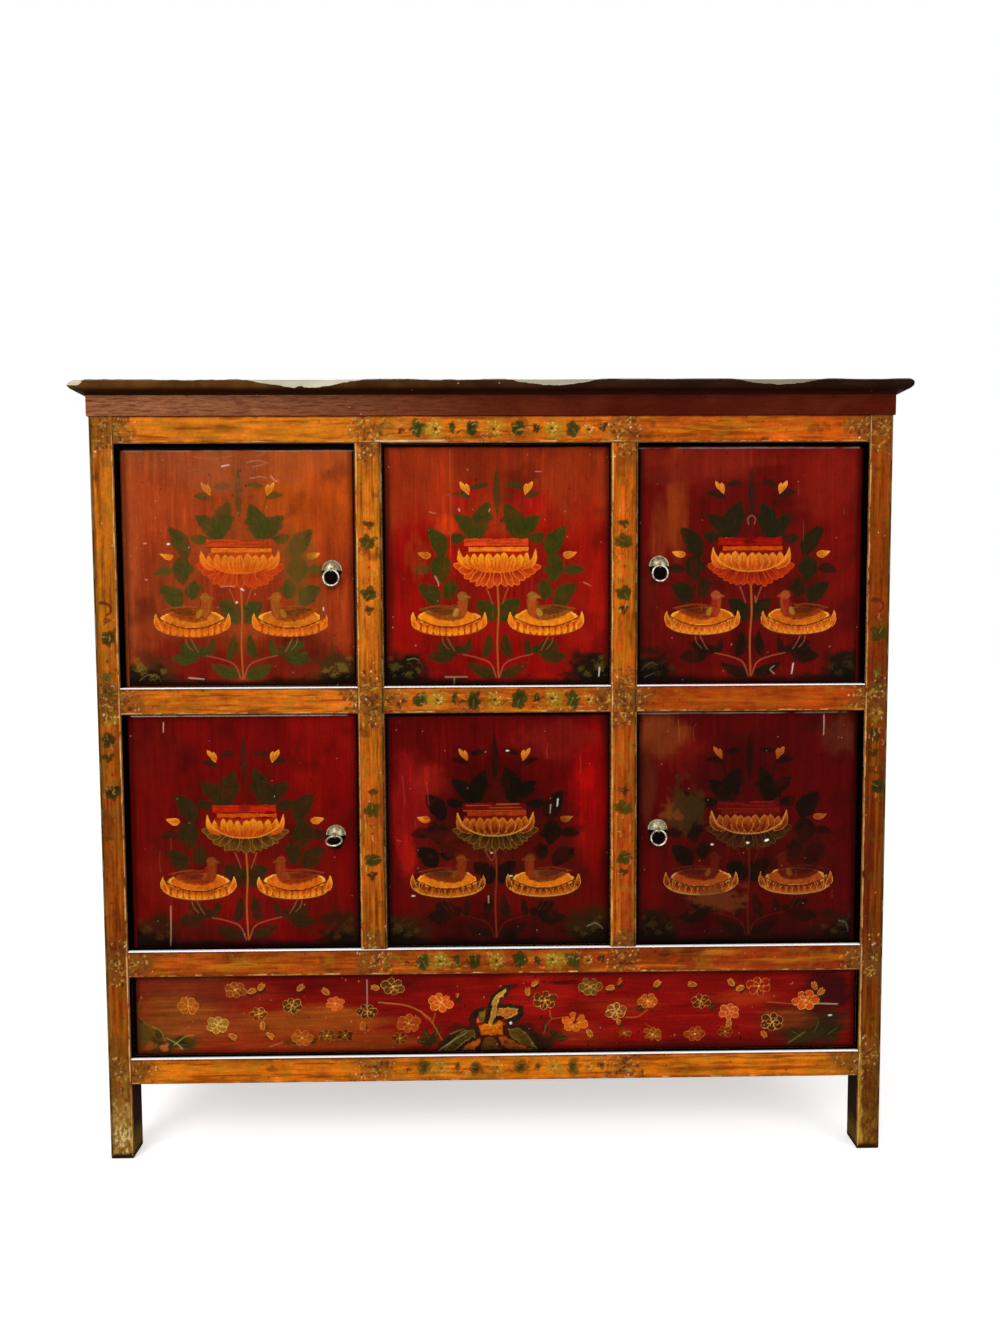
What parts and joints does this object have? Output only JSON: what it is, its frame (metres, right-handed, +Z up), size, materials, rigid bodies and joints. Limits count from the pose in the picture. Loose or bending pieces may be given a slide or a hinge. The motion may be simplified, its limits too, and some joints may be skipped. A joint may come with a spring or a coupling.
{
  "type": "painted cabinet",
  "caption": "Low painted wooden cabinet with pivot-hung doors, fixed centre panels, a frieze and a moulded top board.",
  "frame": {"origin": "on the floor under the middle of the top board", "axes": "+X towards the right end seen from the front, +Y towards the back, +Z up; the front faces -Y"},
  "size_m": [1.12, 0.425, 1.071],
  "materials": {
    "ochre_paint": "aged satin paint",
    "painted_panel": "aged painted lacquer",
    "dark_lacquer": "worn satin lacquer",
    "bare_softwood": "dry unpainted softwood",
    "pull_brass": "dull tarnished"
  },
  "bodies": {
    "cabinet": {"post_front_left": "ochre_paint", "post_front_right": "ochre_paint", "post_rear_left": "bare_softwood", "post_rear_right": "bare_softwood", "front_top_rail": "ochre_paint", "front_lower_rail": "ochre_paint", "front_base_rail": "ochre_paint", "mid_rail_left": "ochre_paint", "mid_rail_centre": "ochre_paint", "mid_rail_right": "ochre_paint", "mullion_left": "ochre_paint", "mullion_right": "ochre_paint", "frieze_front": "dark_lacquer", "frieze_left": "dark_lacquer", "frieze_right": "dark_lacquer", "top_board": "dark_lacquer", "panel_upper_centre": "painted_panel", "panel_lower_centre": "painted_panel", "apron_panel": "painted_panel", "side_rail_top_left": "ochre_paint", "side_rail_mid_left": "ochre_paint", "side_rail_base_left": "ochre_paint", "side_rail_top_right": "ochre_paint", "side_rail_mid_right": "ochre_paint", "side_rail_base_right": "ochre_paint", "side_panel_upper_left": "painted_panel", "side_panel_lower_left": "painted_panel", "side_panel_upper_right": "painted_panel", "side_panel_lower_right": "painted_panel", "rear_rail_top": "bare_softwood", "rear_rail_mid": "bare_softwood", "rear_rail_base": "bare_softwood", "back_boards_upper": "bare_softwood", "back_boards_lower": "bare_softwood", "shelf_boards": "bare_softwood", "shelf_cleats": "bare_softwood", "bottom_boards": "bare_softwood", "bottom_cleats": "bare_softwood", "door_stops": "bare_softwood"},
    "door_upper_left": {"door_upper_left": "painted_panel", "battens_upper_left": "bare_softwood", "boss_upper_left": "pull_brass", "cotter_upper_left": "pull_brass"},
    "ring_upper_left": {"ring_upper_left": "pull_brass"},
    "door_upper_right": {"door_upper_right": "painted_panel", "battens_upper_right": "bare_softwood", "boss_upper_right": "pull_brass", "cotter_upper_right": "pull_brass"},
    "ring_upper_right": {"ring_upper_right": "pull_brass"},
    "door_lower_left": {"door_lower_left": "painted_panel", "battens_lower_left": "bare_softwood", "boss_lower_left": "pull_brass", "cotter_lower_left": "pull_brass"},
    "ring_lower_left": {"ring_lower_left": "pull_brass"},
    "door_lower_right": {"door_lower_right": "painted_panel", "battens_lower_right": "bare_softwood", "boss_lower_right": "pull_brass", "cotter_lower_right": "pull_brass"},
    "ring_lower_right": {"ring_lower_right": "pull_brass"}
  },
  "joints": [
    {"name": "door_upper_left_hinge", "type": "hinge", "parent": "cabinet", "child": "door_upper_left", "pos_m": [-0.497, -0.1715, 0.825], "axis": [0, 0, -1], "range_deg": [0, 90]},
    {"name": "ring_upper_left_hinge", "type": "hinge", "parent": "door_upper_left", "child": "ring_upper_left", "pos_m": [-0.221, -0.191, 0.82], "axis": [-1, 0, 0], "range_deg": [-20, 200]},
    {"name": "door_upper_right_hinge", "type": "hinge", "parent": "cabinet", "child": "door_upper_right", "pos_m": [0.497, -0.1715, 0.825], "axis": [0, 0, 1], "range_deg": [0, 90]},
    {"name": "ring_upper_right_hinge", "type": "hinge", "parent": "door_upper_right", "child": "ring_upper_right", "pos_m": [0.2255, -0.191, 0.824], "axis": [-1, 0, 0], "range_deg": [-20, 200]},
    {"name": "door_lower_left_hinge", "type": "hinge", "parent": "cabinet", "child": "door_lower_left", "pos_m": [-0.497, -0.1715, 0.4605], "axis": [0, 0, -1], "range_deg": [0, 90]},
    {"name": "ring_lower_left_hinge", "type": "hinge", "parent": "door_lower_left", "child": "ring_lower_left", "pos_m": [-0.221, -0.191, 0.4555], "axis": [-1, 0, 0], "range_deg": [-85, 135]},
    {"name": "door_lower_right_hinge", "type": "hinge", "parent": "cabinet", "child": "door_lower_right", "pos_m": [0.497, -0.1715, 0.4605], "axis": [0, 0, 1], "range_deg": [0, 90]},
    {"name": "ring_lower_right_hinge", "type": "hinge", "parent": "door_lower_right", "child": "ring_lower_right", "pos_m": [0.2255, -0.191, 0.4595], "axis": [-1, 0, 0], "range_deg": [-20, 200]}
  ]
}
